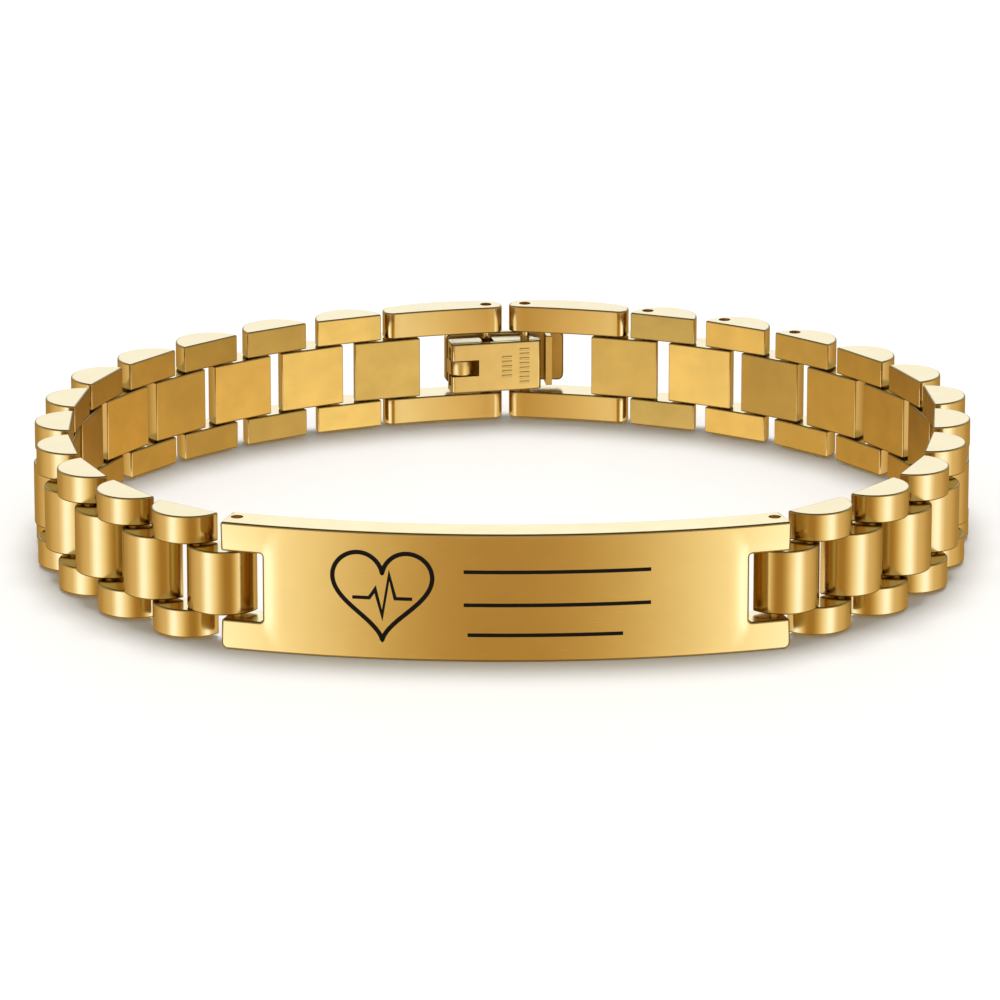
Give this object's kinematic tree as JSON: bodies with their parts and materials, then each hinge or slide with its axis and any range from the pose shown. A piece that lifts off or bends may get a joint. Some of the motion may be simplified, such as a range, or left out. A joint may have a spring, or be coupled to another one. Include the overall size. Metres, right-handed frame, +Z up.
{
  "type": "watch band bracelet",
  "caption": "Closed band of half-round gold-tone steel links with a curved name plate in front and a folding leaf clasp behind.",
  "frame": {"origin": "centre of the loop, in the plane of the lower edge that it stands on", "axes": "+X to the right of the name plate seen from outside, -Y out through the name plate, +Z up along the axis of the wrist"},
  "size_m": [0.077, 0.0721, 0.0104],
  "materials": {
    "plate_gold": "gold-tone plating on steel, polished with a faint satin",
    "link_gold": "gold-tone plating, polished outside, brushed inside",
    "centre_gold": "gold-tone plating, polished outside, brushed inside",
    "clasp_gold": "gold-tone plating on pressed sheet, satin",
    "engraving": "black filled engraving, matte"
  },
  "bodies": {
    "band": {"name_plate": "plate_gold", "left_outer_01": "link_gold", "left_outer_02": "link_gold", "left_outer_03": "link_gold", "left_outer_04": "link_gold", "left_outer_05": "link_gold", "left_outer_06": "link_gold", "left_outer_07": "link_gold", "left_outer_08": "link_gold", "left_outer_09": "link_gold", "left_outer_10": "link_gold", "left_outer_11": "link_gold", "right_outer_01": "link_gold", "right_outer_02": "link_gold", "right_outer_03": "link_gold", "right_outer_04": "link_gold", "right_outer_05": "link_gold", "right_outer_06": "link_gold", "right_outer_07": "link_gold", "right_outer_08": "link_gold", "right_outer_09": "link_gold", "right_outer_10": "link_gold", "right_outer_11": "link_gold", "left_centre_01": "centre_gold", "left_centre_02": "centre_gold", "left_centre_03": "centre_gold", "left_centre_04": "centre_gold", "left_centre_05": "centre_gold", "left_centre_06": "centre_gold", "left_centre_07": "centre_gold", "left_centre_08": "centre_gold", "left_centre_09": "centre_gold", "left_centre_10": "centre_gold", "left_centre_11": "centre_gold", "left_centre_12": "centre_gold", "right_centre_01": "centre_gold", "right_centre_02": "centre_gold", "right_centre_03": "centre_gold", "right_centre_04": "centre_gold", "right_centre_05": "centre_gold", "right_centre_06": "centre_gold", "right_centre_07": "centre_gold", "right_centre_08": "centre_gold", "right_centre_09": "centre_gold", "right_centre_10": "centre_gold", "right_centre_11": "centre_gold", "right_centre_12": "centre_gold", "left_long": "link_gold", "right_long": "link_gold", "clasp_cover": "clasp_gold"},
    "clasp_leaf": {"clasp_leaf": "clasp_gold"}
  },
  "joints": [
    {"name": "leaf_hinge", "type": "hinge", "parent": "band", "child": "clasp_leaf", "pos_m": [0.00185, 0.03425, 0.0052], "axis": [0, 0, 1], "range_deg": [0, 50]}
  ]
}
